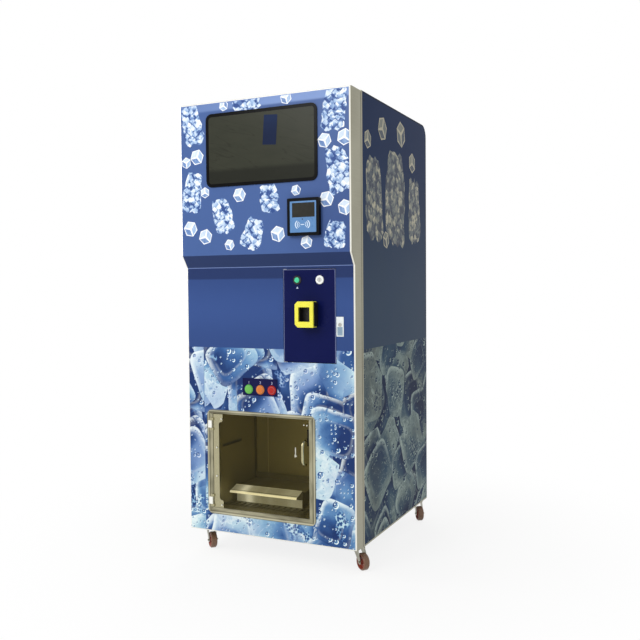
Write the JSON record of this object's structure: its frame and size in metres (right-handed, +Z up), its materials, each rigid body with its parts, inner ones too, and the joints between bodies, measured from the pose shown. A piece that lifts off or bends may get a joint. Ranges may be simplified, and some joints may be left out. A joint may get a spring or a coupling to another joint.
{
  "type": "ice vending machine",
  "caption": "Tall steel ice vending machine on swivel casters, with a hinged service door, screen, card reader, payment door, push buttons and a tinted pickup door.",
  "frame": {"origin": "centre of the bounding box at floor level", "axes": "+X to the right seen from the front, -Y out of the front, +Z up"},
  "size_m": [0.873, 1.0276, 2.071],
  "materials": {
    "door_sheet": "film-faced sheet steel",
    "side_sheet": "film-faced sheet steel",
    "top_sheet": "brushed",
    "rear_sheet": "brushed",
    "rack_steel": "galvanised",
    "bracket_steel": "zinc plated",
    "cabin_steel": "stainless, brushed",
    "chute_steel": "stainless",
    "bin_plastic": "white, food grade",
    "motor_paint": "black",
    "casing_steel": "galvanised",
    "exchanger_metal": "bare",
    "fan_plastic": "black",
    "gasket_rubber": "soft",
    "screen_frame": "gloss black",
    "screen_pane": "dark, gloss",
    "display_case": "black",
    "reader_plastic": "black",
    "reader_plate": "blue",
    "payment_paint": "navy",
    "choice_paint": "navy",
    "bezel_plastic": "yellow",
    "acceptor_plastic": "black",
    "collar_plastic": "black",
    "lock_chrome": "bright",
    "lock_zinc": "satin",
    "start_lens": "green, clear",
    "green_lens": "green, clear",
    "orange_lens": "orange, clear",
    "red_lens": "red, clear",
    "pickup_stainless": "stainless, brushed",
    "handle_chrome": "bright",
    "door_acrylic": "smoked acrylic",
    "fork_zinc": "zinc plated",
    "wheel_tread": "brown polyurethane"
  },
  "bodies": {
    "auger": {"auger": "chute_steel"},
    "cabinet": {"auger_motor": "motor_paint", "bag_tray": "cabin_steel", "base_frame": "rack_steel", "compressor": "motor_paint", "condenser": "exchanger_metal", "evaporator": "exchanger_metal", "fan_shroud": "casing_steel", "floor_grille": "cabin_steel", "ice_bin": "bin_plastic", "ice_chute": "chute_steel", "ice_maker_housing": "casing_steel", "left_side_panel": "side_sheet", "lower_pivot_bracket": "bracket_steel", "pickup_cabin": "cabin_steel", "rack_frame": "rack_steel", "rear_panel": "rear_sheet", "right_side_panel": "side_sheet", "top_cover": "top_sheet", "upper_pivot_bracket": "bracket_steel"},
    "payment_door": {"bill_acceptor": "acceptor_plastic", "bill_bezel": "bezel_plastic", "lock_collar": "lock_chrome", "payment_panel": "payment_paint", "start_collar": "collar_plastic"},
    "door": {"button_plate": "choice_paint", "control_box": "casing_steel", "display_module": "display_case", "door_gasket": "gasket_rubber", "door_shell": "door_sheet", "lock_body": "lock_zinc", "payment_surround": "bracket_steel", "pickup_frame": "pickup_stainless", "reader_face": "reader_plate", "reader_housing": "reader_plastic", "screen_bezel": "screen_frame", "screen_glass": "screen_pane"},
    "chute_flap": {"chute_flap": "chute_steel"},
    "fan": {"condenser_fan": "fan_plastic"},
    "front_left_swivel": {"front_left_fork": "fork_zinc"},
    "front_left_wheel": {"front_left_wheel": "wheel_tread"},
    "front_right_swivel": {"front_right_fork": "fork_zinc"},
    "front_right_wheel": {"front_right_wheel": "wheel_tread"},
    "green_button": {"green_button": "green_lens"},
    "key_barrel": {"key_barrel": "lock_chrome"},
    "lock_bolt": {"lock_bolt": "lock_zinc"},
    "lock_lever": {"lock_lever": "lock_zinc"},
    "orange_button": {"orange_button": "orange_lens"},
    "payment_lock": {"payment_lock": "lock_chrome"},
    "pickup_door": {"pickup_panel": "door_acrylic", "pickup_strip": "pickup_stainless", "pull_handle": "handle_chrome"},
    "rear_left_swivel": {"rear_left_fork": "fork_zinc"},
    "rear_left_wheel": {"rear_left_wheel": "wheel_tread"},
    "rear_right_swivel": {"rear_right_fork": "fork_zinc"},
    "rear_right_wheel": {"rear_right_wheel": "wheel_tread"},
    "red_button": {"red_button": "red_lens"},
    "start_button": {"start_button": "start_lens"}
  },
  "joints": [
    {"name": "service_door_hinge", "type": "hinge", "parent": "cabinet", "child": "door", "pos_m": [-0.41654, -0.40615, 0.1093], "axis": [0, 0, -1], "range_deg": [0, 95]},
    {"name": "payment_door_hinge", "type": "hinge", "parent": "door", "child": "payment_door", "pos_m": [0.07646, -0.45155, 0.911], "axis": [0, 0, -1], "range_deg": [0, 100]},
    {"name": "pickup_door_hinge", "type": "hinge", "parent": "door", "child": "pickup_door", "pos_m": [-0.30954, -0.46465, 0.195], "axis": [0, 0, -1], "range_deg": [0, 100]},
    {"name": "start_button_push", "type": "slide", "parent": "payment_door", "child": "start_button", "axis": [0, 1, 0], "range_m": [0, 0.004], "stiffness_N_per_m": 400},
    {"name": "payment_lock_turn", "type": "hinge", "parent": "payment_door", "child": "payment_lock", "pos_m": [0.24746, -0.45745, 1.268], "axis": [0, -1, 0], "range_deg": [0, 90]},
    {"name": "green_button_push", "type": "slide", "parent": "door", "child": "green_button", "axis": [0, 1, 0], "range_m": [0, 0.004], "stiffness_N_per_m": 400},
    {"name": "orange_button_push", "type": "slide", "parent": "door", "child": "orange_button", "axis": [0, 1, 0], "range_m": [0, 0.004], "stiffness_N_per_m": 400},
    {"name": "red_button_push", "type": "slide", "parent": "door", "child": "red_button", "axis": [0, 1, 0], "range_m": [0, 0.004], "stiffness_N_per_m": 400},
    {"name": "lock_lever_pull", "type": "hinge", "parent": "door", "child": "lock_lever", "pos_m": [0.34071, -0.45535, 1.0338], "axis": [1, 0, 0], "range_deg": [0, 45], "stiffness_Nm_per_rad": 0.05},
    {"name": "key_barrel_turn", "type": "hinge", "parent": "door", "child": "key_barrel", "pos_m": [0.34071, -0.45835, 1.07625], "axis": [0, 1, 0], "range_deg": [0, 90]},
    {"name": "lock_bolt_slide", "type": "slide", "parent": "door", "child": "lock_bolt", "axis": [1, 0, 0], "range_m": [0, 0.012]},
    {"name": "auger_spin", "type": "hinge", "parent": "cabinet", "child": "auger", "pos_m": [-0.01254, -0.30115, 0.8763], "axis": [0, 1, 0], "continuous": true},
    {"name": "fan_spin", "type": "hinge", "parent": "cabinet", "child": "fan", "pos_m": [0.16746, 0.41125, 0.3183], "axis": [0, 1, 0], "continuous": true},
    {"name": "chute_flap_drop", "type": "hinge", "parent": "cabinet", "child": "chute_flap", "pos_m": [-0.01254, -0.16815, 0.686], "axis": [1, 0, 0], "range_deg": [0, 75]},
    {"name": "front_left_swivel_turn", "type": "hinge", "parent": "cabinet", "child": "front_left_swivel", "pos_m": [-0.39754, -0.34115, 0.096], "axis": [0, 0, 1], "continuous": true},
    {"name": "front_left_wheel_roll", "type": "hinge", "parent": "front_left_swivel", "child": "front_left_wheel", "pos_m": [-0.37164, -0.36616, 0.0375], "axis": [0.6947, 0.7193, 0], "continuous": true},
    {"name": "front_right_swivel_turn", "type": "hinge", "parent": "cabinet", "child": "front_right_swivel", "pos_m": [0.37246, -0.34115, 0.096], "axis": [0, 0, 1], "continuous": true},
    {"name": "front_right_wheel_roll", "type": "hinge", "parent": "front_right_swivel", "child": "front_right_wheel", "pos_m": [0.40083, -0.36331, 0.0375], "axis": [0.6157, 0.788, 0], "continuous": true},
    {"name": "rear_left_swivel_turn", "type": "hinge", "parent": "cabinet", "child": "rear_left_swivel", "pos_m": [-0.39754, 0.47885, 0.096], "axis": [0, 0, 1], "continuous": true},
    {"name": "rear_left_wheel_roll", "type": "hinge", "parent": "rear_left_swivel", "child": "rear_left_wheel", "pos_m": [-0.38522, 0.44502, 0.0375], "axis": [0.9397, 0.342, 0], "continuous": true},
    {"name": "rear_right_swivel_turn", "type": "hinge", "parent": "cabinet", "child": "rear_right_swivel", "pos_m": [0.37246, 0.47885, 0.096], "axis": [0, 0, 1], "continuous": true},
    {"name": "rear_right_wheel_roll", "type": "hinge", "parent": "rear_right_swivel", "child": "rear_right_wheel", "pos_m": [0.39207, 0.44866, 0.0375], "axis": [0.8387, 0.5446, 0], "continuous": true}
  ],
  "couplings": [
    {"joint": "key_barrel_turn", "follows": "lock_bolt_slide", "rad_per_m": 130.7}
  ]
}
